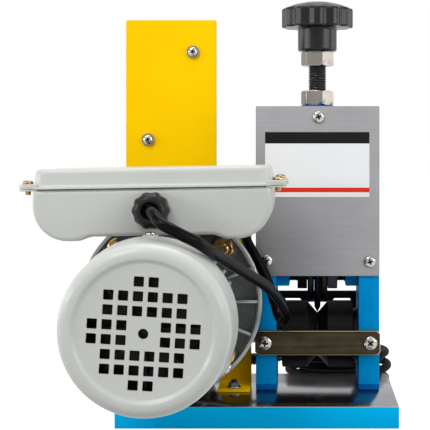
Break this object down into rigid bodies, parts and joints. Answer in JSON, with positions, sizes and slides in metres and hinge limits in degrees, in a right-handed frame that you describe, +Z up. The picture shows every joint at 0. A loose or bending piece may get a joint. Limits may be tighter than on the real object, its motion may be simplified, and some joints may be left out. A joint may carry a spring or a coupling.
{
  "type": "wire stripping machine",
  "caption": "Bench machine that strips electric wire: a geared motor turns a knurled roller and a disc blade, set by a hand screw, slits the insulation.",
  "frame": {"origin": "centre of the base plate's underside", "axes": "+Z up, +X towards the feed frame, -Y towards the side that the motor stands out on"},
  "size_m": [0.2733, 0.4153, 0.3271],
  "materials": {
    "blue_anodised": "blue anodised, satin",
    "blue_base": "blue coated steel, glossy on top",
    "brushed_plate": "brushed stainless steel",
    "bronze_bar": "dark bronze, finely ground",
    "black_oxide": "black oxide",
    "chrome_screw": "nickel plated",
    "bare_steel": "machined steel",
    "black_plastic": "moulded, satin",
    "cast_grey": "grey casting",
    "bronze_gear": "machined bronze",
    "motor_grey": "light grey paint",
    "winding": "laminated core with copper winding",
    "white_plastic": "moulded",
    "yellow_paint": "yellow powder coat",
    "green_plastic": "moulded",
    "red_plastic": "moulded",
    "zinc_yellow": "yellow zinc plated",
    "cord_black": "black sheath"
  },
  "bodies": {
    "machine": {"base_plate": "blue_base", "upright_left": "blue_anodised", "upright_right": "blue_anodised", "top_plate": "blue_anodised", "front_cover": "brushed_plate", "rear_cover": "brushed_plate", "guide_bar": "bronze_bar", "infeed_plate": "black_oxide", "guide_screw_left": "chrome_screw", "guide_screw_right": "chrome_screw", "bearing_left": "chrome_screw", "bearing_right": "chrome_screw", "lock_washer": "bare_steel", "lock_nut": "bare_steel", "gearbox_housing": "cast_grey", "gearbox_cover": "cast_grey", "motor_flange": "cast_grey", "motor_frame": "motor_grey", "stator": "winding", "rear_end_shield": "motor_grey", "fan_cover": "motor_grey", "flange_bolt_1": "zinc_yellow", "flange_bolt_2": "zinc_yellow", "flange_bolt_3": "zinc_yellow", "flange_bolt_4": "zinc_yellow", "terminal_box": "motor_grey", "box_lid": "motor_grey", "capacitor": "white_plastic", "cable_gland": "black_plastic", "switch_bracket": "yellow_paint", "foot_bolt": "chrome_screw", "switch_box": "black_plastic", "strain_relief": "black_plastic", "switch_screw_upper": "chrome_screw", "switch_screw_lower": "chrome_screw", "motor_lead": "cord_black", "mains_cord": "cord_black", "mains_coil": "cord_black", "plug_cord": "cord_black", "plug": "cord_black"},
    "carriage": {"yoke_block": "blue_anodised", "yoke_arm_left": "blue_anodised", "yoke_arm_right": "blue_anodised", "blade_shaft": "black_oxide", "shaft_nut_left": "bare_steel", "shaft_nut_right": "bare_steel"},
    "screw": {"adjusting_screw": "black_oxide", "knob": "black_plastic", "knob_nut": "bare_steel"},
    "slitter": {"blade": "bare_steel", "blade_hub_left": "black_oxide", "blade_hub_right": "black_oxide"},
    "roller": {"feed_roller": "black_oxide", "feed_shaft": "bare_steel", "worm_wheel": "bronze_gear"},
    "armature": {"rotor": "bare_steel", "fan": "black_plastic", "worm": "bare_steel"},
    "start": {"start_button": "green_plastic"},
    "stop": {"stop_button": "red_plastic"}
  },
  "joints": [
    {"name": "blade_lift", "type": "slide", "parent": "machine", "child": "carriage", "axis": [0, 0, 1], "range_m": [0, 0.025]},
    {"name": "knob_turn", "type": "hinge", "parent": "carriage", "child": "screw", "pos_m": [0.0455, 0.0264, 0.25], "axis": [0, 0, 1], "range_deg": [0, 4501]},
    {"name": "blade_spin", "type": "hinge", "parent": "carriage", "child": "slitter", "pos_m": [0.0455, 0.0264, 0.106], "axis": [1, 0, 0], "continuous": true},
    {"name": "motor_spin", "type": "hinge", "parent": "machine", "child": "armature", "pos_m": [-0.0673, -0.1, 0.0901], "axis": [0, 1, 0], "continuous": true},
    {"name": "roller_spin", "type": "hinge", "parent": "machine", "child": "roller", "pos_m": [0.0455, 0.0264, 0.0571], "axis": [1, 0, 0], "continuous": true},
    {"name": "start_press", "type": "slide", "parent": "machine", "child": "start", "axis": [0, -1, 0], "range_m": [0, 0.003], "stiffness_N_per_m": 300, "springref_m": -0.002},
    {"name": "stop_press", "type": "slide", "parent": "machine", "child": "stop", "axis": [0, -1, 0], "range_m": [0, 0.003], "stiffness_N_per_m": 300, "springref_m": -0.002}
  ],
  "couplings": [
    {"joint": "knob_turn", "follows": "blade_lift", "rad_per_m": 3141.6},
    {"joint": "roller_spin", "follows": "motor_spin", "ratio": 0.04}
  ]
}
